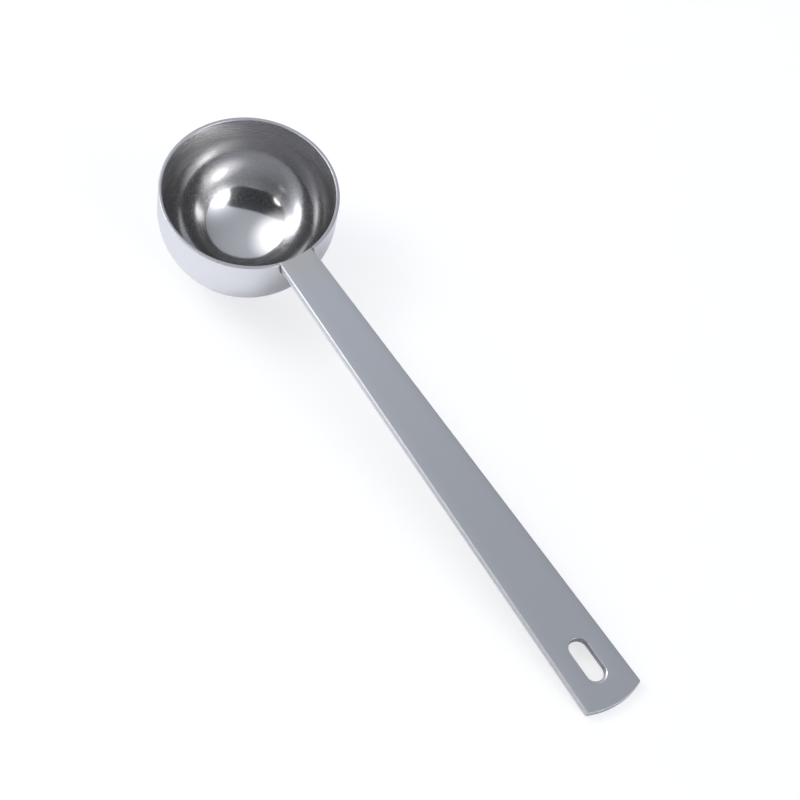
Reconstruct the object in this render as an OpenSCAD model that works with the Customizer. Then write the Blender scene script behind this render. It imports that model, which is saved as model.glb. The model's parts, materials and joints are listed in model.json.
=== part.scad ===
// Measuring scoop: a deep drawn cup, and a flat bar handle let into its rim and welded.
// Each piece is drawn with the cup's axis upright and its lowest point at zero.
// The scoop is then laid down the way it rests, on its round bottom and the handle's end.

/* [Cup] */
// Outside diameter of the cup
cup_d = 40; // [36:0.5:48]
// Depth of the cup inside, from the rim to its lowest point
cup_depth = 25; // [21:0.5:32]
// Thickness of the cup's sheet
cup_wall = 0.8; // [0.5:0.05:1.2]
// How far the centre of the side's round lies off the cup's axis
round_offset = 1; // [0.5:0.25:2.5]
// How much larger the radius of the bottom's dome is than the side's round
dome_extra = 5; // [4:0.5:12]
// Radius of the rim's two edges
rim_edge_r = 0.2; // [0.05:0.05:0.2]

/* [Handle] */
// Overall length of the scoop, from the cup's far side to the handle's end
scoop_length = 159; // [120:1:200]
// Thickness of the handle's bar
handle_thick = 2; // [1.4:0.1:2.6]
// Width of the handle at the cup's wall
root_width = 8.5; // [6:0.1:12]
// Width of the handle at its free end
end_width = 13.7; // [9:0.1:18]
// Radius of the curved free end
end_r = 16.6; // [12:0.1:30]
// Radius of the handle's long edges
handle_edge_r = 0.4; // [0.1:0.05:0.6]
// Radius of the free end's edges
end_edge_r = 0.45; // [0.1:0.05:0.6]

/* [Hanging slot] */
// Width of the slot
slot_width = 4.3; // [4.1:0.1:5]
// Length of the slot, over its round ends
slot_length = 9.8; // [7:0.1:16]
// Metal left between the slot and the free end
slot_margin = 5.9; // [4:0.1:12]
// Radius of the slot's two edges
slot_edge_r = 0.4; // [0.1:0.05:0.6]

/* [Weld] */
// Leg of the weld bead around the handle's root, along the cup and along the handle
bead_leg = 0.6; // [0.4:0.1:1.5]

/* [Hidden] */
$fn = 96;

// Spare size of a cutter past the face that it cuts
past = 1;

// Cup
outer_r = cup_d / 2;
inner_r = outer_r - cup_wall;
rim_z = cup_depth + cup_wall;
round_r = outer_r - round_offset;
dome_r = round_r + dome_extra;
round_z = dome_r - sqrt(dome_extra * dome_extra - round_offset * round_offset);
dome_half_angle = asin(round_offset / dome_extra);

// Handle
reach = scoop_length - outer_r;
handle_low = rim_z - handle_thick;
taper_angle = atan((end_width - root_width) / 2 / (reach - outer_r));
side_length = (reach - outer_r) / cos(taper_angle);
function half_width(x) = root_width / 2 + (x - outer_r) * tan(taper_angle);
end_centre = reach - end_r;
slot_r = slot_width / 2;
slot_far = reach - slot_margin - slot_r;
slot_straight = slot_length - slot_width;

// Weld
root_half_angle = asin(root_width / 2 / outer_r);
root_corner_x = outer_r * cos(root_half_angle);
bead_half_angle = root_half_angle + 2 * asin(bead_leg / 2 / outer_r);

// Tilt at which a circle of the bottom and the round edge of the handle's end share one tangent
end_edge_x = reach - end_edge_r;
end_edge_z = handle_low + end_edge_r;
function tilt_on(x, z, r) =
    asin((r - end_edge_r) / norm([end_edge_x - x, end_edge_z - z]))
    + atan((end_edge_z - z) / (end_edge_x - x));
dome_tilt = tilt_on(0, dome_r, dome_r);
on_dome = dome_tilt < dome_half_angle;
rest_tilt = on_dome ? dome_tilt : tilt_on(round_offset, round_z, round_r);
rest_lift = on_dome
    ? dome_r - dome_r * cos(rest_tilt)
    : round_r + round_offset * sin(rest_tilt) - round_z * cos(rest_tilt);
rest_back = -round_offset * cos(rest_tilt) + round_z * sin(rest_tilt) - round_r;
rest_front = end_edge_x * cos(rest_tilt) + (rim_z - end_edge_r) * sin(rest_tilt) + end_edge_r;

// Lays a piece down as the scoop rests, with the middle of its length at zero
module at_rest() {
    translate([-(rest_back + rest_front) / 2, 0, rest_lift])
        rotate([0, rest_tilt, 0])
            children();
}

// Half of the cup's section, filled in, with its walls moved in by inset
module cup_section(inset, top) {
    slope = tan(dome_half_angle);
    translate([0, round_z])
        square([outer_r - inset, top - round_z]);
    intersection() {
        translate([0, dome_r])
            circle(dome_r - inset);
        translate([0, dome_r])
            polygon([[0, 0], [0, -2 * dome_r], [2 * dome_r * slope, -2 * dome_r]]);
    }
    intersection() {
        translate([round_offset, round_z])
            circle(round_r - inset);
        translate([round_offset, round_z])
            polygon(2 * round_r * [[0, 0], [slope, -1], [1, -1], [1, 0]]);
    }
}

// Sharp corner less a round: taking it away rounds an edge that lies at the origin
module edge_cut(r) {
    difference() {
        translate([-r, -r])
            square(r + past);
        translate([-r, -r])
            circle(r);
    }
}

// The handle's outline seen from above, from inside the cup to the free end
module handle_outline() {
    difference() {
        polygon([
            [0, -half_width(0)],
            [reach, -half_width(reach)],
            [reach, half_width(reach)],
            [0, half_width(0)]
        ]);
        difference() {
            translate([end_centre, -end_r])
                square(2 * end_r);
            translate([end_centre, 0])
                circle(end_r);
        }
    }
}

// The handle before its edges are rounded, reaching to the cup's inner face
module handle_blank() {
    difference() {
        translate([0, 0, handle_low])
            linear_extrude(handle_thick)
                handle_outline();
        translate([0, 0, handle_low - past])
            cylinder(r = inner_r, h = handle_thick + 2 * past);
    }
}

// Draws a cutter for a top edge there and, mirrored, on the bottom edge below it
module on_both_faces() {
    translate([0, 0, rim_z])
        children();
    translate([0, 0, handle_low])
        mirror([0, 0, 1])
            children();
}

// Section of a slab of the bar's thickness, with the two edges at its far end rounded
module slab_section(near, far, r) {
    translate([near, handle_low])
        square([far - r - near, handle_thick]);
    translate([far - r, handle_low + r])
        square([r, handle_thick - 2 * r]);
    for (z = [handle_low + r, rim_z - r])
        translate([far - r, z])
            circle(r);
}

// Slab whose edge lies along the handle's +Y side, rounded from the cup's wall outwards
module side_slab() {
    translate([outer_r, root_width / 2, 0])
        rotate([0, 0, taper_angle]) {
            rotate([90, 0, 90])
                linear_extrude(side_length + past)
                    slab_section(-2 * end_width, 0, handle_edge_r);
            translate([-outer_r, -2 * end_width, handle_low])
                cube([outer_r, 2 * end_width, handle_thick]);
        }
}

// Slab whose edge is the curved free end
module end_slab() {
    translate([end_centre, 0, 0])
        rotate_extrude()
            slab_section(0, end_r, end_edge_r);
    translate([0, -end_r, handle_low])
        cube([end_centre, 2 * end_r, handle_thick]);
}

// One straight side of the slot, with its length along X from zero
module slot_side() {
    on_both_faces()
        translate([0, slot_r, 0])
            rotate([90, 0, 90])
                linear_extrude(slot_straight)
                    mirror([1, 0])
                        edge_cut(slot_edge_r);
}

// One round end of the slot: its hole, and the rounds of its half turn on the +X side
module slot_end() {
    translate([0, 0, handle_low - past])
        cylinder(r = slot_r, h = handle_thick + 2 * past);
    on_both_faces()
        rotate([0, 0, -90])
            rotate_extrude(angle = 180)
                translate([slot_r, 0])
                    mirror([1, 0])
                        edge_cut(slot_edge_r);
}

module slot_cuts() {
    translate([slot_far - slot_straight, 0, 0]) {
        translate([0, -slot_r, handle_low - past])
            cube([slot_straight, slot_width, handle_thick + 2 * past]);
        for (side = [0, 1])
            mirror([0, side, 0])
                slot_side();
        mirror([1, 0, 0])
            slot_end();
    }
    translate([slot_far, 0, 0])
        slot_end();
}

module cup() {
    color("gainsboro")
        difference() {
            rotate_extrude()
                difference() {
                    cup_section(0, rim_z);
                    cup_section(cup_wall, rim_z + past);
                    translate([outer_r, rim_z])
                        edge_cut(rim_edge_r);
                    translate([inner_r, rim_z])
                        mirror([1, 0])
                            edge_cut(rim_edge_r);
                }
            handle_blank();
        }
}

module handle() {
    color("silver")
        difference() {
            intersection() {
                handle_blank();
                side_slab();
                mirror([0, 1, 0])
                    side_slab();
                end_slab();
            }
            slot_cuts();
        }
}

// The section of the bead in the corner between the cup's wall and the handle's side
module side_bead_section() {
    inside_x = root_corner_x - past;
    toe_x = root_corner_x + bead_leg;
    difference() {
        polygon([
            [inside_x, half_width(inside_x)],
            [toe_x, half_width(toe_x)],
            outer_r * [cos(bead_half_angle), sin(bead_half_angle)]
        ]);
        circle(outer_r);
    }
}

// A bead down each side of the handle's root and along its underside
module weld_bead() {
    color("darkgray") {
        translate([0, 0, handle_low])
            linear_extrude(handle_thick)
                for (side = [0, 1])
                    mirror([0, side])
                        side_bead_section();
        rotate([0, 0, -bead_half_angle])
            rotate_extrude(angle = 2 * bead_half_angle)
                translate([outer_r, handle_low])
                    polygon(bead_leg * [[0, 0], [1, 0], [0, -1]]);
    }
}

at_rest() cup();
at_rest() handle();
at_rest() weld_bead();
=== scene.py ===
import json
import math

import bmesh
import bpy
from mathutils import Matrix, Vector


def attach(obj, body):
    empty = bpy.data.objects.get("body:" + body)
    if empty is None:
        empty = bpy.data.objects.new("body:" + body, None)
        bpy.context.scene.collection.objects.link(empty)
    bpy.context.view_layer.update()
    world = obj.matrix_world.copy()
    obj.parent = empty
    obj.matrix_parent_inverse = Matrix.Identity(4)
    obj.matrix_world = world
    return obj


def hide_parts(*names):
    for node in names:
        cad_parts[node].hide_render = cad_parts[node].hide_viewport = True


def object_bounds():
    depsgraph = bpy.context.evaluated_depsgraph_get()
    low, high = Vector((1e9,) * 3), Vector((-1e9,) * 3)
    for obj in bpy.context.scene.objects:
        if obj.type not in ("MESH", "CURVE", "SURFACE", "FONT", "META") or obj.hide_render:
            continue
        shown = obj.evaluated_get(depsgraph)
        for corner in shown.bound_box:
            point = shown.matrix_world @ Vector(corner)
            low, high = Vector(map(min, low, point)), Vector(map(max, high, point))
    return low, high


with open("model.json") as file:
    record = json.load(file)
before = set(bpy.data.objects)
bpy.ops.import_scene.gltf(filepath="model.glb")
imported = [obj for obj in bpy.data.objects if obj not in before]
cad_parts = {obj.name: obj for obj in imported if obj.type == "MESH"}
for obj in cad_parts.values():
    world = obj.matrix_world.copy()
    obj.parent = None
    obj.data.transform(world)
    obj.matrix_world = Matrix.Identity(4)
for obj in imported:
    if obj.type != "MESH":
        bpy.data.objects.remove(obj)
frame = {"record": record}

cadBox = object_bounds()
print("frame loaded")

mm = 0.001                  # in metres
nearly = 0.001              # in millimetres: points closer than this are the same
noiseRange = (0.3, 0.7)     # most of a noise pattern lies between these

# The scoop's own frame has the cup's axis upright and is in millimetres, as in a workshop drawing
shape = {
    "outerR": 20.0,         # outside radius of the cup
    "wall": 0.8,            # the cup's sheet
    "depth": 25.0,          # inside the cup, from the rim to its lowest point
    "roundOffset": 1.0,     # centre of the side's round, off the cup's axis
    "domeExtra": 5.0,       # radius of the bottom's dome, less the side's round
    "rimEdgeR": 0.2,        # the rim's two edges
    "length": 159.0,        # from the cup's far side to the handle's end
    "thick": 2.0,           # the handle's bar
    "rootWidth": 8.5,       # the handle at the cup's wall
    "endWidth": 13.7,       # the handle at its free end
    "endR": 16.6,           # the curved free end
    "slotWidth": 4.3,
    "slotLength": 9.8,      # over its round ends
    "slotMargin": 5.9,      # metal between the slot and the free end
}
innerR = shape["outerR"] - shape["wall"]
rimZ = shape["depth"] + shape["wall"]
roundR = shape["outerR"] - shape["roundOffset"]
domeR = roundR + shape["domeExtra"]
roundZ = domeR - math.sqrt(shape["domeExtra"] ** 2 - shape["roundOffset"] ** 2)
domeAngle = math.asin(shape["roundOffset"] / shape["domeExtra"])
reach = shape["length"] - shape["outerR"]
handleLow = rimZ - shape["thick"]
taper = math.atan((shape["endWidth"] - shape["rootWidth"]) / 2 / (reach - shape["outerR"]))

# The record gives the lean of the resting scoop, as the axis of the handle's flat top
topAxis = next(m["axis"] for m in frame["record"]["mounts"] if m["name"] == "handle_top")
tilt = math.atan2(topAxis[0], topAxis[2])
restLift = domeR * (1 - math.cos(tilt))
restBack = -shape["roundOffset"] * math.cos(tilt) + roundZ * math.sin(tilt) - roundR
restShift = cadBox[0].x / mm - restBack
place = (Matrix.Scale(mm, 4) @ Matrix.Translation((restShift, 0, restLift))
         @ Matrix.Rotation(tilt, 4, "Y"))


def halfWidth(x):
    # Half of the handle's width, that far from the cup's axis
    return shape["rootWidth"] / 2 + (x - shape["outerR"]) * math.tan(taper)


def linear(colour):
    # sRGB hex value as linear colour
    channels = [int(colour[i:i + 2], 16) / 255 for i in (0, 2, 4)]
    return [c / 12.92 if c <= 0.04045 else ((c + 0.055) / 1.055) ** 2.4 for c in channels] + [1.0]


def addNode(tree, kind, settings, links):
    # A node with its settings, and its inputs joined to the sockets given
    node = tree.nodes.new(kind)
    for key, value in settings.items():
        if isinstance(key, int) or key in node.inputs:
            node.inputs[key].default_value = value
        else:
            setattr(node, key, value)
    for key, socket in links.items():
        tree.links.new(socket, node.inputs[key])
    return node


def newMaterial(name):
    material = bpy.data.materials.new(name)
    material.use_nodes = True
    material.node_tree.nodes.clear()
    return material, material.node_tree


def ownMillimetres(tree):
    # Object coordinates turned back to the scoop's own frame, in millimetres
    coords = addNode(tree, "ShaderNodeTexCoord", {}, {})
    return addNode(tree, "ShaderNodeMapping", {
        "vector_type": "TEXTURE",
        "Location": (restShift * mm, 0, restLift * mm),
        "Rotation": (0, tilt, 0),
        "Scale": (mm, mm, mm),
    }, {"Vector": coords.outputs["Object"]}).outputs["Vector"]


# Sizes and heights are in millimetres
polished = {
    "colour": "C5C4C4",
    "bottomRoughness": (0.05, 0.26),    # the clear mirror, and the hazy specks in it
    "wallRoughness": (0.19, 0.29),      # between the polishing lines, and on them
    "lineShare": (0.36, 0.66),          # where in the noise a line begins, and where it is full
    "softFrom": 2.0,            # heights between which the mirror softens up the side, and by how much
    "softTo": 7.5,
    "softBy": 0.03,
    "bottomMetallic": 0.97,     # a thin film scatters a little, most of it on the straight wall
    "wallMetallic": 0.88,
    "wallFrom": 9.5,            # heights where the mirror starts to dull, and where it is dullest
    "wallTo": 22.0,
    "speckMm": 0.09,            # hazy specks, drawn several times coarser than real so that they show
    "speckShare": (0.54, 0.66),         # more of the surface is hazy as these come down
    "streakMm": 0.28,           # spacing of the polishing lines, drawn ten times coarser so that they show
    "streakLong": 0.5,          # a lower number draws them longer round the cup
    "streakDeep": 0.003,
    "peelMm": 0.3,              # faint waviness of the drawn sheet under the polish
    "peelDeep": 0.0045,
    "bumpStrength": 0.35,
}


def circularCoordinates(tree, own, along):
    # Angle round the cup as a circle, with radius and height kept apart, so the pattern has no seam
    parts = addNode(tree, "ShaderNodeSeparateXYZ", {}, {"Vector": own})
    flat = addNode(tree, "ShaderNodeCombineXYZ", {}, {"X": parts.outputs["X"], "Y": parts.outputs["Y"]})
    radius = addNode(tree, "ShaderNodeVectorMath", {"operation": "LENGTH"}, {0: flat.outputs[0]})
    unit = addNode(tree, "ShaderNodeVectorMath", {"operation": "NORMALIZE"}, {0: flat.outputs[0]})
    circle = addNode(tree, "ShaderNodeVectorMath", {"operation": "SCALE", "Scale": along}, {
        0: unit.outputs[0]})
    lift = addNode(tree, "ShaderNodeCombineXYZ", {}, {"Z": radius.outputs["Value"]})
    joined = addNode(tree, "ShaderNodeVectorMath", {"operation": "ADD"}, {
        0: circle.outputs[0], 1: lift.outputs[0]})
    return joined.outputs[0], parts.outputs["Z"]


def makePolished():
    # Drawn stainless polished on a wheel: a mirror in the bottom, clear but for a haze of fine specks,
    # which goes over into a softer, greyer shine with fine lines round the straight wall
    material, tree = newMaterial("polished_drawn_stainless")
    own = ownMillimetres(tree)
    ring, height = circularCoordinates(tree, own, polished["streakLong"])
    streaks = addNode(tree, "ShaderNodeTexNoise", {
        "noise_dimensions": "4D", "Scale": 1 / polished["streakMm"], "Detail": 3, "Roughness": 0.55,
    }, {"Vector": ring, "W": height})
    specks = addNode(tree, "ShaderNodeTexNoise", {
        "Scale": 1 / polished["speckMm"], "Detail": 1, "Roughness": 0.5}, {"Vector": own})
    peel = addNode(tree, "ShaderNodeTexNoise", {
        "Scale": 1 / polished["peelMm"], "Detail": 2, "Roughness": 0.5}, {"Vector": own})
    upWall = addNode(tree, "ShaderNodeMapRange", {
        "interpolation_type": "SMOOTHSTEP", "From Min": polished["wallFrom"], "From Max": polished["wallTo"],
    }, {"Value": height})
    onSpeck = addNode(tree, "ShaderNodeMapRange", {
        "From Min": polished["speckShare"][0], "From Max": polished["speckShare"][1],
        "To Min": polished["bottomRoughness"][0], "To Max": polished["bottomRoughness"][1],
    }, {"Value": specks.outputs["Fac"]})
    onLine = addNode(tree, "ShaderNodeMapRange", {
        "interpolation_type": "SMOOTHSTEP",
        "From Min": polished["lineShare"][0], "From Max": polished["lineShare"][1],
        "To Min": polished["wallRoughness"][0], "To Max": polished["wallRoughness"][1],
    }, {"Value": streaks.outputs["Fac"]})
    softer = addNode(tree, "ShaderNodeMapRange", {
        "interpolation_type": "SMOOTHSTEP", "From Min": polished["softFrom"], "From Max": polished["softTo"],
        "To Min": 0.0, "To Max": polished["softBy"],
    }, {"Value": height})
    inBottom = addNode(tree, "ShaderNodeMath", {"operation": "ADD"}, {
        0: onSpeck.outputs["Result"], 1: softer.outputs["Result"]})
    rough = addNode(tree, "ShaderNodeMix", {"data_type": "FLOAT"}, {
        0: upWall.outputs["Result"], 2: inBottom.outputs[0], 3: onLine.outputs["Result"]})
    film = addNode(tree, "ShaderNodeMapRange", {
        "To Min": polished["bottomMetallic"], "To Max": polished["wallMetallic"],
    }, {"Value": upWall.outputs["Result"]})
    peelHeight = addNode(tree, "ShaderNodeMath", {"operation": "MULTIPLY", 1: polished["peelDeep"]}, {
        0: peel.outputs["Fac"]})
    streakHeight = addNode(tree, "ShaderNodeMath", {"operation": "MULTIPLY", 1: polished["streakDeep"]}, {
        0: streaks.outputs["Fac"]})
    relief = addNode(tree, "ShaderNodeMix", {"data_type": "FLOAT"}, {
        0: upWall.outputs["Result"], 2: peelHeight.outputs[0], 3: streakHeight.outputs[0]})
    bump = addNode(tree, "ShaderNodeBump", {"Strength": polished["bumpStrength"], "Distance": mm}, {
        "Height": relief.outputs[0]})
    shader = addNode(tree, "ShaderNodeBsdfPrincipled", {"Base Color": linear(polished["colour"])}, {
        "Metallic": film.outputs["Result"], "Roughness": rough.outputs[0], "Normal": bump.outputs["Normal"]})
    addNode(tree, "ShaderNodeOutputMaterial", {}, {"Surface": shader.outputs["BSDF"]})
    return material


satin = {
    "colour": "D7D7DA",
    "roughness": 0.36,
    "uneven": (0.9, 1.1),       # times the roughness, least and most
    "grainMm": 0.25,            # grain of the tumbling, drawn ten times coarser so that it shows
    "grainRound": 2.5,          # a lower number draws it longer round the cup
    "grainDeep": 0.01,
    "bumpStrength": 0.2,
    "weldTintAndShade": "AFAEAF",       # painted shade: the cup below the handle's root is painted greyer for the shadowed floor that it mirrors there
    "shadeMiddle": (20.0, 3.0, 16.0),    # in the scoop's own frame
    "shadeNear": 3.0,            # distance from its middle to which it is full, and where it is gone
    "shadeFar": 14.0,
}


def makeSatin():
    # Drawn stainless tumbled outside: an even pale satin that carries broad soft light and no clear
    # image, and is painted a little greyer below the handle as painted shade for the shadowed floor it
    # mirrors there
    material, tree = newMaterial("satin_drawn_stainless")
    own = ownMillimetres(tree)
    ring, height = circularCoordinates(tree, own, satin["grainRound"])
    grain = addNode(tree, "ShaderNodeTexNoise", {
        "noise_dimensions": "4D", "Scale": 1 / satin["grainMm"], "Detail": 4, "Roughness": 0.6,
    }, {"Vector": ring, "W": height})
    rough = addNode(tree, "ShaderNodeMapRange", {
        "From Min": noiseRange[0], "From Max": noiseRange[1],
        "To Min": satin["roughness"] * satin["uneven"][0], "To Max": satin["roughness"] * satin["uneven"][1],
    }, {"Value": grain.outputs["Fac"]})
    bump = addNode(tree, "ShaderNodeBump", {
        "Strength": satin["bumpStrength"], "Distance": satin["grainDeep"] * mm,
    }, {"Height": grain.outputs["Fac"]})
    # Painted shade: greyer towards a point below the handle's root, for the shadowed floor that the cup
    # mirrors there
    away = addNode(tree, "ShaderNodeVectorMath", {
        "operation": "DISTANCE", 1: satin["shadeMiddle"]}, {0: own})
    tintAndShade = addNode(tree, "ShaderNodeMapRange", {
        "interpolation_type": "SMOOTHSTEP", "From Min": satin["shadeNear"], "From Max": satin["shadeFar"],
        "To Min": 1.0, "To Max": 0.0,
    }, {"Value": away.outputs["Value"]})
    colour = addNode(tree, "ShaderNodeMix", {
        "data_type": "RGBA", 6: linear(satin["colour"]), 7: linear(satin["weldTintAndShade"]),
    }, {0: tintAndShade.outputs["Result"]})
    shader = addNode(tree, "ShaderNodeBsdfPrincipled", {"Metallic": 1.0}, {
        "Base Color": colour.outputs[2], "Roughness": rough.outputs["Result"],
        "Normal": bump.outputs["Normal"]})
    addNode(tree, "ShaderNodeOutputMaterial", {}, {"Surface": shader.outputs["BSDF"]})
    return material


rimGround = {
    "colour": "BAB9BC",
    "roughness": 0.34,
    "uneven": (0.8, 1.2),       # times the roughness, least and most
    "nickMm": 1.1,              # spacing of the nicks along the rim
    "nickShare": (0.6, 0.72),   # fewer and smaller nicks as these go up
    "nickDeep": 0.04,
    "bumpStrength": 0.3,
}


def makeRim():
    # Sheet edge ground by hand: a thin grey line that glints at a few nicks where the wheel went deeper
    material, tree = newMaterial("ground_stainless_rim")
    own = ownMillimetres(tree)
    nicks = addNode(tree, "ShaderNodeTexNoise", {
        "Scale": 1 / rimGround["nickMm"], "Detail": 3, "Roughness": 0.6}, {"Vector": own})
    rough = addNode(tree, "ShaderNodeMapRange", {
        "From Min": noiseRange[0], "From Max": noiseRange[1],
        "To Min": rimGround["roughness"] * rimGround["uneven"][0],
        "To Max": rimGround["roughness"] * rimGround["uneven"][1],
    }, {"Value": nicks.outputs["Fac"]})
    deep = addNode(tree, "ShaderNodeMapRange", {
        "From Min": rimGround["nickShare"][0], "From Max": rimGround["nickShare"][1],
    }, {"Value": nicks.outputs["Fac"]})
    bump = addNode(tree, "ShaderNodeBump", {
        "Strength": rimGround["bumpStrength"], "Distance": rimGround["nickDeep"] * mm,
    }, {"Height": deep.outputs["Result"]})
    shader = addNode(tree, "ShaderNodeBsdfPrincipled", {
        "Base Color": linear(rimGround["colour"]), "Metallic": 1.0,
    }, {"Roughness": rough.outputs["Result"], "Normal": bump.outputs["Normal"]})
    addNode(tree, "ShaderNodeOutputMaterial", {}, {"Surface": shader.outputs["BSDF"]})
    return material


# The handle's materials, in the order of its material slots. Where a look has no colour or roughness
# of its own at the wide end or beside the weld, it is the same all along.
barLooks = {
    # Rolled bar tumbled after blanking: an even grey satin with no clear image and a faint grain along
    # its length, a trace of straw colour beside the weld, and a shade darker at the wide end, which is
    # painted shade for the light that falls off along the handle
    "satin_bar_stainless": {
        "colour": "BDBEC1", "wideEndShade": "B5B6B8", "weldTintAndShade": "BEBDBA",
        "roughness": 0.34, "endRoughness": 0.36},
    # Long edges rubbed smooth in the tumbling: a line lighter than the faces, crisp near the cup and
    # rougher near the end, where it is also painted darker as painted shade for the light that falls off
    "tumbled_edge_stainless": {
        "colour": "D4D4D7", "wideEndShade": "C4C4C7", "weldTintAndShade": "D2D1D3",
        "roughness": 0.34, "endRoughness": 0.56},
    # Wall of the slot as the punch left it: matt, and painted darker than the faces as painted shade for the
    # shadowed floor that it mirrors below the slot
    "punched_slot_painted_shade": {"colour": "A2A3A6", "roughness": 0.45},
    # Far edge of the slot, worn by the hook: a smooth bright crescent
    "worn_edge_stainless": {"colour": "D2D2D4", "roughness": 0.34},
    # Free end as it was sheared in blanking: matt grey without a highlight
    "blanked_end_stainless": {"colour": "AEAFB1", "roughness": 0.5},
}
barPattern = {
    "grainMm": 0.12,            # grain of the rolling, drawn coarser than real so that it shows
    "grainAlong": 0.06,         # a lower number draws it longer along the bar
    "grainDeep": 0.008,
    "uneven": (0.9, 1.12),      # times the roughness, least and most
    "bumpStrength": 0.15,
    "heatFrom": -1.0,           # distance outside the cup's wall where the weld's tint starts to fade
    "heatTo": 8.0,              # and where it is gone
    "endFrom": 0.2,             # shares of the handle's reach where the wide end's look sets in
    "endTo": 0.7,               # and where it is full
}


def makeBar(name, look):
    material, tree = newMaterial(name)
    own = ownMillimetres(tree)
    along = addNode(tree, "ShaderNodeSeparateXYZ", {}, {"Vector": own}).outputs["X"]
    tintAndShade = addNode(tree, "ShaderNodeMapRange", {
        "interpolation_type": "SMOOTHSTEP", "To Min": 1.0, "To Max": 0.0,
        "From Min": shape["outerR"] + barPattern["heatFrom"],
        "From Max": shape["outerR"] + barPattern["heatTo"],
    }, {"Value": along})
    wide = addNode(tree, "ShaderNodeMapRange", {
        "interpolation_type": "SMOOTHSTEP",
        "From Min": reach * barPattern["endFrom"], "From Max": reach * barPattern["endTo"],
    }, {"Value": along})
    # Painted shade: the colour turns darker towards the wide end, for the light that falls off along the
    # handle
    plain = addNode(tree, "ShaderNodeMix", {
        "data_type": "RGBA", 6: linear(look["colour"]), 7: linear(look.get("wideEndShade", look["colour"])),
    }, {0: wide.outputs["Result"]})
    colour = addNode(tree, "ShaderNodeMix", {
        "data_type": "RGBA", 7: linear(look.get("weldTintAndShade", look["colour"])),
    }, {0: tintAndShade.outputs["Result"], 6: plain.outputs[2]})
    dull = addNode(tree, "ShaderNodeMapRange", {
        "To Min": look["roughness"], "To Max": look.get("endRoughness", look["roughness"]),
    }, {"Value": wide.outputs["Result"]})
    stretched = addNode(tree, "ShaderNodeMapping", {"Scale": (barPattern["grainAlong"], 1.0, 1.0)}, {
        "Vector": own})
    grain = addNode(tree, "ShaderNodeTexNoise", {
        "Scale": 1 / barPattern["grainMm"], "Detail": 3, "Roughness": 0.6,
    }, {"Vector": stretched.outputs[0]})
    uneven = addNode(tree, "ShaderNodeMapRange", {
        "From Min": noiseRange[0], "From Max": noiseRange[1],
        "To Min": barPattern["uneven"][0], "To Max": barPattern["uneven"][1],
    }, {"Value": grain.outputs["Fac"]})
    rough = addNode(tree, "ShaderNodeMath", {"operation": "MULTIPLY"}, {
        0: dull.outputs["Result"], 1: uneven.outputs["Result"]})
    bump = addNode(tree, "ShaderNodeBump", {
        "Strength": barPattern["bumpStrength"], "Distance": barPattern["grainDeep"] * mm,
    }, {"Height": grain.outputs["Fac"]})
    shader = addNode(tree, "ShaderNodeBsdfPrincipled", {"Metallic": 1.0}, {
        "Base Color": colour.outputs[2], "Roughness": rough.outputs[0], "Normal": bump.outputs["Normal"]})
    addNode(tree, "ShaderNodeOutputMaterial", {}, {"Surface": shader.outputs["BSDF"]})
    return material


# The weld's dark grey is partly its own oxide and partly painted shade for the crease at the handle's root
weldOxideAndShade = {
    "colour": "7C7976",
    "roughness": 0.48,
    "pitMm": 0.3,
    "pitDeep": 0.1,
    "bumpStrength": 0.6,
}


def makeWeld():
    # Weld metal brushed once over: dull dark grey, partly its own oxide and partly painted shade for the
    # crease beside the handle's root, roughened by small pits
    material, tree = newMaterial("dressed_weld_and_crease_shade")
    own = ownMillimetres(tree)
    pits = addNode(tree, "ShaderNodeTexNoise", {
        "Scale": 1 / weldOxideAndShade["pitMm"], "Detail": 4, "Roughness": 0.65}, {"Vector": own})
    bump = addNode(tree, "ShaderNodeBump", {
        "Strength": weldOxideAndShade["bumpStrength"], "Distance": weldOxideAndShade["pitDeep"] * mm,
    }, {"Height": pits.outputs["Fac"]})
    shader = addNode(tree, "ShaderNodeBsdfPrincipled", {
        "Base Color": linear(weldOxideAndShade["colour"]), "Metallic": 1.0, "Roughness": weldOxideAndShade["roughness"],
    }, {"Normal": bump.outputs["Normal"]})
    addNode(tree, "ShaderNodeOutputMaterial", {}, {"Surface": shader.outputs["BSDF"]})
    return material


def arcFrom(bm, vert, centre, degrees, steps, axis):
    # Draws an arc from a point, by turning it about a centre, and gives the arc's last point
    made = bmesh.ops.spin(bm, geom=[vert], cent=centre, axis=axis, angle=math.radians(degrees), steps=steps)
    return [v for v in made["geom_last"] if isinstance(v, bmesh.types.BMVert)][0]


def lineFrom(bm, vert, end, steps=1):
    # Draws a straight line from a point and gives the line's last point
    start = vert.co.copy()
    for i in range(steps):
        vert = bmesh.ops.extrude_vert_indiv(bm, verts=[vert])["verts"][0]
        vert.co = start.lerp(Vector(end), (i + 1) / steps)
    return vert


def finishPiece(bm, name, materials, node):
    # Lays the mesh down as the scoop rests and makes it a piece that stands for a CAD node
    bmesh.ops.transform(bm, matrix=place, verts=bm.verts)
    mesh = bpy.data.meshes.new(name)
    bm.to_mesh(mesh)
    bm.free()
    for material in materials:
        mesh.materials.append(material)
    piece = bpy.data.objects.new(name, mesh)
    bpy.context.scene.collection.objects.link(piece)
    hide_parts(node)
    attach(piece, "root")


cupMesh = {
    "domeSteps": 10,        # rings of faces from the bottom up
    "roundSteps": 64,
    "wallSteps": 8,
    "edgeSteps": 5,
    "turnSteps": 288,       # faces round the cup
    "lookZ": 20.0,          # every inner face looks towards the axis at this height
    "notchReach": 8.0,      # the notch cuts only faces this near the handle's middle line
}


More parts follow.
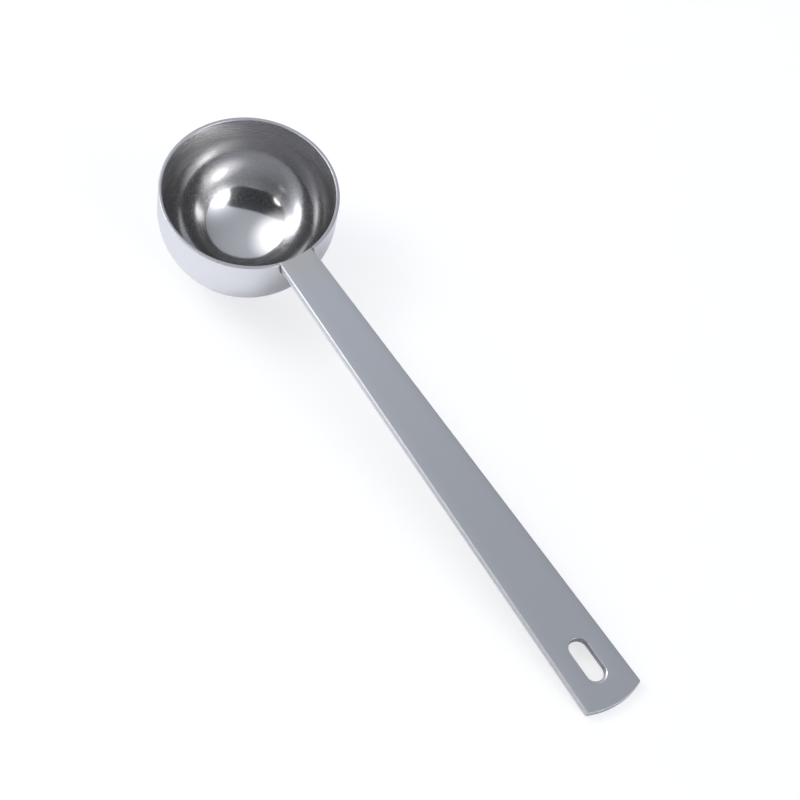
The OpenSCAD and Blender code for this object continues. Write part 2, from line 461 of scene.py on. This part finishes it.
def makeCup():
    # The sheet's whole section is drawn from the bottom up outside and back down inside, then spun
    bm = bmesh.new()
    edgeR = shape["rimEdgeR"]
    domePart = math.degrees(domeAngle)
    roundPart = 90 - domePart
    yAxis = (0, 1, 0)
    v = bm.verts.new((0, 0, 0))
    v = arcFrom(bm, v, (0, 0, domeR), -domePart, cupMesh["domeSteps"], yAxis)
    v = arcFrom(bm, v, (shape["roundOffset"], 0, roundZ), -roundPart, cupMesh["roundSteps"], yAxis)
    v = lineFrom(bm, v, (shape["outerR"], 0, rimZ - edgeR), cupMesh["wallSteps"])
    v = arcFrom(bm, v, (shape["outerR"] - edgeR, 0, rimZ - edgeR), -90, cupMesh["edgeSteps"], yAxis)
    v = lineFrom(bm, v, (innerR + edgeR, 0, rimZ))
    v = arcFrom(bm, v, (innerR + edgeR, 0, rimZ - edgeR), -90, cupMesh["edgeSteps"], yAxis)
    v = lineFrom(bm, v, (innerR, 0, roundZ), cupMesh["wallSteps"])
    v = arcFrom(bm, v, (shape["roundOffset"], 0, roundZ), roundPart, cupMesh["roundSteps"], yAxis)
    arcFrom(bm, v, (0, 0, domeR), domePart, cupMesh["domeSteps"], yAxis)
    bmesh.ops.spin(bm, geom=bm.verts[:] + bm.edges[:], cent=(0, 0, 0), axis=(0, 0, 1),
                   angle=2 * math.pi, steps=cupMesh["turnSteps"], use_merge=True)
    bmesh.ops.remove_doubles(bm, verts=bm.verts, dist=nearly / 2)
    bmesh.ops.recalc_face_normals(bm, faces=bm.faces)
    cutNotch(bm)
    inside, outside, rim = range(3)
    for face in bm.faces:
        face.smooth = True
        centre = face.calc_center_median()
        inward = face.normal.dot(Vector((0, 0, cupMesh["lookZ"])) - centre) > 0
        face.material_index = rim if centre.z > rimZ - edgeR else (inside if inward else outside)
    finishPiece(bm, "cup_shell", [makePolished(), makeSatin(), makeRim()], "cup")


def cutNotch(bm):
    # The handle is let into the rim, so its sides and its underside cut the wall
    near = [f for f in bm.faces if f.calc_center_median().x > 0
            and abs(f.calc_center_median().y) < cupMesh["notchReach"] and f.calc_center_median().z > roundZ]
    # Their points and edges, each of them once, and the faces
    geom = [*dict.fromkeys(v for f in near for v in f.verts),
            *dict.fromkeys(e for f in near for e in f.edges), *near]
    geom = bmesh.ops.bisect_plane(bm, geom=geom, dist=nearly / 10, plane_co=(0, 0, handleLow),
                                  plane_no=(0, 0, 1))["geom"]
    for side in (-1, 1):
        sideNormal = (-math.sin(taper), side * math.cos(taper), 0)
        geom = bmesh.ops.bisect_plane(bm, geom=geom, dist=nearly / 10,
                                      plane_co=(shape["outerR"], side * shape["rootWidth"] / 2, 0),
                                      plane_no=sideNormal)["geom"]
    gone = []
    for f in bm.faces:
        c = f.calc_center_median()
        if c.x > 0 and c.z > handleLow and abs(c.y) < halfWidth(c.x) - nearly / 2:
            gone.append(f)
    bmesh.ops.delete(bm, geom=gone, context="FACES")
    # The wall's cut faces are closed again: one on each side, and the floor of the notch between them
    rim = [e for e in bm.edges if e.is_boundary]
    corners = []
    for side in (-1, 1):
        ends = [v for v in dict.fromkeys(v for e in rim for v in e.verts)
                if abs(v.co.z - handleLow) < nearly and abs(v.co.y - side * halfWidth(v.co.x)) < nearly]
        corners.append(bmesh.ops.contextual_create(bm, geom=ends)["edges"][0])
    for side, across in zip((-1, 1), corners):
        loop = [e for e in rim if all(abs(v.co.y - side * halfWidth(v.co.x)) < nearly for v in e.verts)]
        bmesh.ops.contextual_create(bm, geom=loop + [across])
    floor = [e for e in rim if all(abs(v.co.z - handleLow) < nearly for v in e.verts)]
    bmesh.ops.contextual_create(bm, geom=floor + corners)
    for e in rim + corners:
        e.smooth = False
    bmesh.ops.recalc_face_normals(bm, faces=bm.faces)


makeCup()
print("cup made")


handleMesh = {
    "edgeR": 0.4,           # the long edges
    "endEdgeR": 0.12,       # the blanked free end keeps a crisper edge above
    "endUnderR": 0.45,      # and a rounder one below, on which the scoop rests
    "slotEdgeR": 0.14,
    "wornEdgeR": 0.8,       # top edge of the slot's far end, worn round by its hook
    "wornShare": 0.75,      # share of the slot's length, from its far end, on which the wear shows
    "cornerR": 0.5,         # the free end's two corners, seen from above
    "leastCornerR": 0.02,   # and where they are smallest, on the flat of a face
    "rootEdgeR": 0.2,       # the root's top edge goes on from the rim's
    "crownWidth": 1.5,      # strip inside each edge over which the tumbled surface rolls off
    "crownDrop": 0.04,
    "crownShares": (1.0, 0.6, 0.3),     # where in that strip the outlines lie
    "edgeSteps": 6,         # outlines from a face to the middle of a rounded edge
    "rootSteps": 12,        # points along each part of an outline
    "sideSteps": 6,
    "cornerSteps": 8,
    "endSteps": 24,
    "slotEndSteps": 20,
    "slotSideSteps": 4,
    "sharpDegrees": 35,     # edges that turn more than this are drawn sharp
}


def meetCircle(point, direction, centre, radius):
    # The farther point along a line where it crosses a circle
    away = point - centre
    along = away.dot(direction)
    return point + direction * (-along + math.sqrt(along ** 2 - away.length_squared + radius ** 2))


def outlineHalf(bm, inset, rootInset, endInset, z):
    # Half of the bar's outline, drawn that much inside its edges: root, side, corner and free end
    along = Vector((math.cos(taper), math.sin(taper), 0))
    outward = Vector((-math.sin(taper), math.cos(taper), 0))
    corner = max(handleMesh["cornerR"] - max(inset, endInset), handleMesh["leastCornerR"])
    up = Vector((0, 0, z))
    zAxis = (0, 0, 1)
    endCentre = Vector((reach - shape["endR"], 0, 0))
    onSide = Vector((shape["outerR"], shape["rootWidth"] / 2, 0))
    root = meetCircle(onSide - outward * inset, along, Vector((0, 0, 0)), innerR + rootInset)
    cornerCentre = meetCircle(onSide - outward * (inset + corner), along, endCentre,
                              shape["endR"] - endInset - corner)
    rootAngle = math.degrees(math.atan2(root.y, root.x))
    endAngle = math.atan2(cornerCentre.y, cornerCentre.x - endCentre.x)
    cornerTurn = math.degrees(endAngle - taper) - 90
    first = v = bm.verts.new((innerR + rootInset, 0, z))
    v = arcFrom(bm, v, up, rootAngle, handleMesh["rootSteps"], zAxis)
    v = lineFrom(bm, v, cornerCentre + outward * corner + up, handleMesh["sideSteps"])
    v = arcFrom(bm, v, cornerCentre + up, cornerTurn, handleMesh["cornerSteps"], zAxis)
    v = arcFrom(bm, v, endCentre + up, -math.degrees(endAngle), handleMesh["endSteps"], zAxis)
    return first, v


def slotHalf(bm, inset, farInset, z):
    # Half of the slot's outline, that much outside its wall, and at the far end another much outside it
    slotR = shape["slotWidth"] / 2
    far = reach - shape["slotMargin"] - slotR
    near = far - (shape["slotLength"] - shape["slotWidth"])
    farCentre = far + farInset - inset      # so that a worn far end fades out along the slot's sides
    zAxis = (0, 0, 1)
    first = v = bm.verts.new((far + slotR + farInset, 0, z))
    v = arcFrom(bm, v, (farCentre, 0, z), 90, handleMesh["slotEndSteps"], zAxis)
    v = lineFrom(bm, v, (near, slotR + inset, z), handleMesh["slotSideSteps"])
    v = arcFrom(bm, v, (near, 0, z), 90, handleMesh["slotEndSteps"], zAxis)
    return first, v


def barLevels(endRadius, slotEndRadius):
    # Height of each outline, and how far it lies inside the long edges, the root, the free end, the
    # slot and the slot's far end, from the flat of the top face to the middle of the edges
    crown = handleMesh["crownDrop"]
    steps = handleMesh["edgeSteps"]
    radii = [handleMesh[k] for k in ("edgeR", "rootEdgeR", endRadius, "slotEdgeR", slotEndRadius)]
    levels = []
    for share in handleMesh["crownShares"]:
        insets = [r + handleMesh["crownWidth"] * share for r in radii]
        levels.append([rimZ - crown * (1 - share) ** 2] + insets)
    drops = sorted(r * (1 - math.cos(math.pi / 2 * step / steps)) for r in (radii[0], radii[2], radii[4])
                   for step in range(steps + 1))
    for previous, drop in zip([-1] + drops, drops):
        if drop - previous > nearly:        # a level that two edges share is drawn once
            insets = [r - math.sqrt(r ** 2 - max(r - drop, 0) ** 2) for r in radii]
            levels.append([rimZ - crown - drop] + insets)
    return levels


def makeHandle():
    # The bar is lofted: its outline is drawn at each level of the rounded edges, and the outlines bridged
    bm = bmesh.new()
    satinFace, tumbledEdge, slotWall, wornEdge, blankedEnd = range(len(barLooks))
    top = barLevels("endEdgeR", "wornEdgeR")
    turnedOver = rimZ + handleLow       # a height less this is its mirror image below the bar's middle
    under = [[turnedOver - z] + insets for z, *insets in barLevels("endUnderR", "slotEdgeR")[::-1]]
    for level in under:
        level[2] = max(level[2] - handleMesh["rootEdgeR"], 0)       # the root is square below
    chains = []
    for z, inset, rootInset, endInset, slotInset, wornInset in top + under:
        start = len(bm.edges)
        ends = outlineHalf(bm, inset, rootInset, endInset, z)
        bm.edges.ensure_lookup_table()
        outer = bm.edges[start:]
        slotEnds = slotHalf(bm, slotInset, wornInset, z)
        bm.edges.ensure_lookup_table()
        chains.append((outer, bm.edges[start + len(outer):], ends, slotEnds))
    for above, below in zip(chains, chains[1:]):
        bmesh.ops.bridge_loops(bm, edges=above[0] + below[0])
        for face in bmesh.ops.bridge_loops(bm, edges=above[1] + below[1])["faces"]:
            face.material_index = slotWall
    for outer, slot, ends, slotEnds in (chains[0], chains[-1]):
        across = [bmesh.ops.contextual_create(bm, geom=[ends[0], slotEnds[1]])["edges"][0],
                  bmesh.ops.contextual_create(bm, geom=[ends[1], slotEnds[0]])["edges"][0]]
        bmesh.ops.contextual_create(bm, geom=outer + slot + across)
    bmesh.ops.mirror(bm, geom=bm.verts[:] + bm.edges[:] + bm.faces[:], merge_dist=nearly / 2, axis="Y")
    bmesh.ops.recalc_face_normals(bm, faces=bm.faces)
    wornFrom = reach - shape["slotMargin"] - shape["slotLength"] * handleMesh["wornShare"]
    for face in bm.faces:
        face.smooth = True
        slopesUp = 0.2 < face.normal.z < 0.99
        flat = abs(face.normal.z) > 0.9
        facesEnd = face.normal.x > 0.6
        if face.material_index == slotWall and slopesUp and face.calc_center_median().x > wornFrom:
            face.material_index = wornEdge
        elif flat:
            face.material_index = satinFace
        elif face.material_index == satinFace:
            face.material_index = blankedEnd if facesEnd else tumbledEdge
    for e in bm.edges:
        if len(e.link_faces) == 2 and e.calc_face_angle(0) > math.radians(handleMesh["sharpDegrees"]):
            e.smooth = False
    materials = [makeBar(name, look) for name, look in barLooks.items()]
    finishPiece(bm, "handle_bar", materials, "handle")


makeHandle()
print("handle made")


weldSizes = {
    "beadR": 0.21,
    "turnR": 0.8,       # how tightly it turns under the handle
    "turnFrom": 0.3,    # height over the underside where the turn starts
    "swell": 0.5,       # how far it spreads along the handle on its way down
    "ringSteps": 12,    # points round the bead, and steps along each part of it
    "downSteps": 6,
    "turnSteps": 6,
    "underSteps": 8,
}


def makeWeldBead():
    # A round bead down the corner beside the handle's root, then along the handle's underside
    bm = bmesh.new()
    rootAngle = math.asin(shape["rootWidth"] / 2 / shape["outerR"])
    outward = Vector((math.cos(rootAngle), math.sin(rootAngle), 0))
    inward = Vector((math.sin(rootAngle), -math.cos(rootAngle), 0))
    corner = outward * shape["outerR"] + Vector((0, 0, rimZ))
    bmesh.ops.create_circle(bm, cap_ends=True, segments=weldSizes["ringSteps"], radius=weldSizes["beadR"])
    bmesh.ops.translate(bm, verts=bm.verts, vec=corner)
    edges = bm.edges[:]
    fall = Vector((0, 0, handleLow + weldSizes["turnFrom"] - rimZ)) / weldSizes["downSteps"]
    spread = outward * weldSizes["swell"] / weldSizes["downSteps"]
    for step in range(weldSizes["downSteps"]):
        made = bmesh.ops.extrude_edge_only(bm, edges=edges)["geom"]
        verts = [g for g in made if isinstance(g, bmesh.types.BMVert)]
        edges = [g for g in made if isinstance(g, bmesh.types.BMEdge) and all(v in verts for v in g.verts)]
        bmesh.ops.translate(bm, verts=verts, vec=fall + spread)
    pivot = corner + inward * weldSizes["turnR"]
    pivot.z = handleLow + weldSizes["turnFrom"]
    last = bmesh.ops.spin(bm, geom=edges, cent=pivot, axis=outward, angle=math.radians(-90),
                          steps=weldSizes["turnSteps"])["geom_last"]
    ring = [v for v in last if isinstance(v, bmesh.types.BMVert)]
    edges = [e for e in last if isinstance(e, bmesh.types.BMEdge)]
    centre = sum((v.co for v in ring), Vector()) / weldSizes["ringSteps"]
    last = bmesh.ops.spin(bm, geom=edges, cent=(0, 0, 0), axis=(0, 0, 1),
                          angle=-math.atan2(centre.y, centre.x), steps=weldSizes["underSteps"])["geom_last"]
    # Its last ring is pressed flat onto the middle plane, where the mirrored half joins it
    bmesh.ops.scale(bm, verts=[v for v in last if isinstance(v, bmesh.types.BMVert)], vec=(1, 0, 1))
    bmesh.ops.mirror(bm, geom=bm.verts[:] + bm.edges[:] + bm.faces[:], merge_dist=nearly, axis="Y")
    bmesh.ops.recalc_face_normals(bm, faces=bm.faces)
    for face in bm.faces:
        face.smooth = True
    finishPiece(bm, "weld_fillet", [makeWeld()], "weld_bead")


makeWeldBead()
print("weld made")


stageLook = {
    "floor": "F9F9FB",
    "floorHalf": 6.0,       # half of its side, in metres
    "whiteFrom": 0.3,       # metres from the scoop where the floor starts to turn plain white, and ends
    "whiteTo": 1.2,
    "whiteShare": 0.68,     # how much of the floor's brightness the camera takes as plain white
    "mirrorShare": 0.1,     # the same for what the steel mirrors
}


def makeFloor():
    # Matt white paper: no gloss, only the scoop's soft shadow, and plain white farther off
    bm = bmesh.new()
    bmesh.ops.create_grid(bm, x_segments=1, y_segments=1, size=stageLook["floorHalf"])
    mesh = bpy.data.meshes.new("floor")
    bm.to_mesh(mesh)
    bm.free()
    floor = bpy.data.objects.new("floor", mesh)
    bpy.context.scene.collection.objects.link(floor)
    material, tree = newMaterial("white_paper_floor")
    path = addNode(tree, "ShaderNodeLightPath", {}, {})
    mirrored = addNode(tree, "ShaderNodeMath", {"operation": "MAXIMUM"}, {
        0: path.outputs["Is Glossy Ray"], 1: path.outputs["Is Transmission Ray"]})
    spot = addNode(tree, "ShaderNodeTexCoord", {}, {})
    away = addNode(tree, "ShaderNodeVectorMath", {"operation": "LENGTH"}, {0: spot.outputs["Object"]})
    white = addNode(tree, "ShaderNodeMapRange", {
        "interpolation_type": "SMOOTHSTEP",
        "From Min": stageLook["whiteFrom"], "From Max": stageLook["whiteTo"],
        "To Min": stageLook["whiteShare"], "To Max": 1.0,
    }, {"Value": away.outputs["Value"]})
    direct = addNode(tree, "ShaderNodeMath", {"operation": "MULTIPLY"}, {
        0: path.outputs["Is Camera Ray"], 1: white.outputs["Result"]})
    share = addNode(tree, "ShaderNodeMath", {"operation": "MULTIPLY_ADD", 1: stageLook["mirrorShare"]}, {
        0: mirrored.outputs[0], 2: direct.outputs[0]})
    paper = addNode(tree, "ShaderNodeBsdfDiffuse", {"Color": linear(stageLook["floor"])}, {})
    glow = addNode(tree, "ShaderNodeEmission", {"Color": (1, 1, 1, 1), "Strength": 1.0}, {})
    mix = addNode(tree, "ShaderNodeMixShader", {}, {
        0: share.outputs[0], 1: paper.outputs[0], 2: glow.outputs[0]})
    addNode(tree, "ShaderNodeOutputMaterial", {}, {"Surface": mix.outputs[0]})
    mesh.materials.append(material)


makeFloor()
print("floor made")


lamps = {
    # Seen from the cup: degrees down from its axis and round it from the handle, degrees across and
    # up, distance in metres, brightness at the middle, where 1 is white paper, and the share that fades
    "left_softbox": {
        "down": 46, "round": 213, "across": 27, "tall": 26, "away": 0.5, "glow": 8.5, "soft": 0.8},
    "left_scrim": {
        "down": 42, "round": 216, "across": 77, "tall": 77, "away": 0.5, "glow": 2.3, "soft": 1.0},
    "right_softbox": {
        "down": 55, "round": 13, "across": 36, "tall": 33, "away": 1.2, "glow": 5.2, "soft": 0.7},
    "front_softbox": {
        "down": 62, "round": 273, "across": 21, "tall": 18, "away": 3.0, "glow": 5.0, "soft": 0.5},
    "far_strip": {
        "down": 61, "round": 72, "across": 22, "tall": 6, "away": 1.2, "glow": 3.0, "soft": 0.8},
}
cupCentre = place @ Vector((0, 0, rimZ))


def aim(down, around):
    # Direction in the room, from degrees down from the cup's axis and round it from the handle
    down, around = math.radians(down), math.radians(around)
    own = Vector((math.sin(down) * math.cos(around), math.sin(down) * math.sin(around), math.cos(down)))
    return Matrix.Rotation(tilt, 3, "Y") @ own


def makeLamp(name, lamp):
    # A soft light, brightest in the middle, whose outer part fades to nothing
    light = bpy.data.lights.new(name, "AREA")
    light.shape = "ELLIPSE"
    light.size = 2 * lamp["away"] * math.tan(math.radians(lamp["across"] / 2))
    light.size_y = 2 * lamp["away"] * math.tan(math.radians(lamp["tall"] / 2))
    area = light.size * light.size_y * math.pi / 4
    light.energy = lamp["glow"] * math.pi * area
    light.use_nodes = True
    tree = light.node_tree
    tree.nodes.clear()
    edge = 0.5      # the lamp's own coordinates run from 0 to 1 across it
    spot = addNode(tree, "ShaderNodeNewGeometry", {}, {})
    middle = addNode(tree, "ShaderNodeVectorMath", {"operation": "DISTANCE", 1: (edge, edge, 0)}, {
        0: spot.outputs["Parametric"]})
    fade = addNode(tree, "ShaderNodeMapRange", {
        "interpolation_type": "SMOOTHSTEP", "From Min": edge * (1 - lamp["soft"]), "From Max": edge,
        "To Min": 1.0, "To Max": 0.0,
    }, {"Value": middle.outputs["Value"]})
    glow = addNode(tree, "ShaderNodeEmission", {}, {"Strength": fade.outputs["Result"]})
    addNode(tree, "ShaderNodeOutputLight", {}, {"Surface": glow.outputs[0]})
    lampObject = bpy.data.objects.new(name, light)
    bpy.context.scene.collection.objects.link(lampObject)
    towards = aim(lamp["down"], lamp["round"])
    lampObject.location = cupCentre + towards * lamp["away"]
    lampObject.rotation_euler = towards.to_track_quat("Z", "Y").to_euler()


for name, lamp in lamps.items():
    makeLamp(name, lamp)
print("lamps made")


room = {
    "colour": "EFF4FF",
    "base": 0.315,                      # brightness of the walls and ceiling, where 1 is white
    "lean": (-0.292, -0.149, 0.43),     # how it grows towards the left and overhead
    # Wide light behind the right lamp, given as the lamps are, and narrower as tight goes up
    "window": {"down": 65.4, "round": 13.3, "glow": 3.63, "tight": 11.5},
    # Side of the room with no lamp, given as the lamps are, but in degrees to each side of its middle,
    # and leaning from the level by lean
    "unlit": {"down": 43, "round": 302, "across": 39, "tall": 15.5, "lean": 9},
    "unlitLeft": 0.1,                   # share of its light that is left there
    "unlitEdge": 0.12,                  # how softly it begins
    "unlitPower": 8,                    # 2 makes it an ellipse, and 8 a box with small round corners
}


def makeRoom():
    world = bpy.data.worlds.new("studio_room")
    bpy.context.scene.world = world
    world.use_nodes = True
    tree = world.node_tree
    tree.nodes.clear()
    direction = addNode(tree, "ShaderNodeTexCoord", {}, {}).outputs["Generated"]
    lean = Matrix.Rotation(tilt, 3, "Y") @ Vector(room["lean"])
    slope = addNode(tree, "ShaderNodeVectorMath", {"operation": "DOT_PRODUCT", 1: lean}, {0: direction})
    walls = addNode(tree, "ShaderNodeMath", {"operation": "ADD", 1: room["base"], "use_clamp": True}, {
        0: slope.outputs["Value"]})

    window = room["window"]
    near = addNode(tree, "ShaderNodeVectorMath", {
        "operation": "DOT_PRODUCT", 1: aim(window["down"], window["round"])}, {0: direction})
    fall = addNode(tree, "ShaderNodeMath", {
        "operation": "MULTIPLY_ADD", 1: window["tight"], 2: -window["tight"]}, {0: near.outputs["Value"]})
    halo = addNode(tree, "ShaderNodeMath", {"operation": "EXPONENT"}, {0: fall.outputs[0]})
    lit = addNode(tree, "ShaderNodeMath", {"operation": "MULTIPLY_ADD", 1: window["glow"]}, {
        0: halo.outputs[0], 2: walls.outputs[0]})

    unlit = room["unlit"]
    power = room["unlitPower"]
    middle = aim(unlit["down"], unlit["round"])
    across = Matrix.Rotation(math.radians(unlit["lean"]), 3, middle) @ aim(90, unlit["round"] + 90)
    turned = Matrix((across, middle.cross(across), middle)).transposed().to_euler()
    local = addNode(tree, "ShaderNodeMapping", {
        "vector_type": "TEXTURE", "Rotation": turned,
        "Scale": (math.sin(math.radians(unlit["across"])), math.sin(math.radians(unlit["tall"])), 1),
    }, {"Vector": direction})
    parts = addNode(tree, "ShaderNodeSeparateXYZ", {}, {"Vector": local.outputs["Vector"]})
    powers = []
    for way in ("X", "Y"):
        size = addNode(tree, "ShaderNodeMath", {"operation": "ABSOLUTE"}, {0: parts.outputs[way]})
        raised = addNode(tree, "ShaderNodeMath", {"operation": "POWER", 1: power}, {0: size.outputs[0]})
        powers.append(raised.outputs[0])
    out = addNode(tree, "ShaderNodeMath", {"operation": "ADD"}, {
        0: powers[0], 1: powers[1]})
    edge = addNode(tree, "ShaderNodeMapRange", {
        "interpolation_type": "SMOOTHSTEP",
        "From Min": (1 - room["unlitEdge"]) ** power, "From Max": (1 + room["unlitEdge"]) ** power,
        "To Min": room["unlitLeft"], "To Max": 1.0,
    }, {"Value": out.outputs[0]})
    behind = addNode(tree, "ShaderNodeMath", {"operation": "LESS_THAN", 1: 0.0}, {0: parts.outputs["Z"]})
    kept = addNode(tree, "ShaderNodeMath", {"operation": "MAXIMUM"}, {
        0: edge.outputs["Result"], 1: behind.outputs[0]})
    total = addNode(tree, "ShaderNodeMath", {"operation": "MULTIPLY"}, {
        0: lit.outputs[0], 1: kept.outputs[0]})

    # The camera itself sees plain white
    path = addNode(tree, "ShaderNodeLightPath", {}, {})
    strength = addNode(tree, "ShaderNodeMix", {"data_type": "FLOAT", 3: 1.0}, {
        0: path.outputs["Is Camera Ray"], 2: total.outputs[0]})
    seen = addNode(tree, "ShaderNodeMix", {
        "data_type": "RGBA", 6: linear(room["colour"]), 7: (1, 1, 1, 1)}, {0: path.outputs["Is Camera Ray"]})
    background = addNode(tree, "ShaderNodeBackground", {}, {
        "Color": seen.outputs[2], "Strength": strength.outputs[0]})
    addNode(tree, "ShaderNodeOutputWorld", {}, {"Surface": background.outputs[0]})


makeRoom()
print("room made")


# Fitted to the rim, the handle's sides and its end: place in metres, and the picture's right and up
cameraSettings = {
    "place": (0.229582, -0.170123, 0.391860),
    "right": (0.56425026, 0.82502955, 0.03078774),
    "up": (-0.66915044, 0.43516278, 0.60238779),
    "lens": 100.765,        # millimetres
    "sensor": 36,
    "near": 0.01,           # metres
}


def makeCamera():
    camera = bpy.data.cameras.new("camera")
    camera.sensor_width = cameraSettings["sensor"]
    camera.lens = cameraSettings["lens"]
    camera.clip_start = cameraSettings["near"]
    cameraObject = bpy.data.objects.new("camera", camera)
    bpy.context.scene.collection.objects.link(cameraObject)
    right = Vector(cameraSettings["right"])
    up = Vector(cameraSettings["up"])
    turn = Matrix((right, up, right.cross(up))).transposed()
    cameraObject.matrix_world = Matrix.Translation(cameraSettings["place"]) @ turn.to_4x4()
    bpy.context.scene.camera = cameraObject


makeCamera()
bpy.context.scene.view_settings.view_transform = "Standard"
print("camera made")
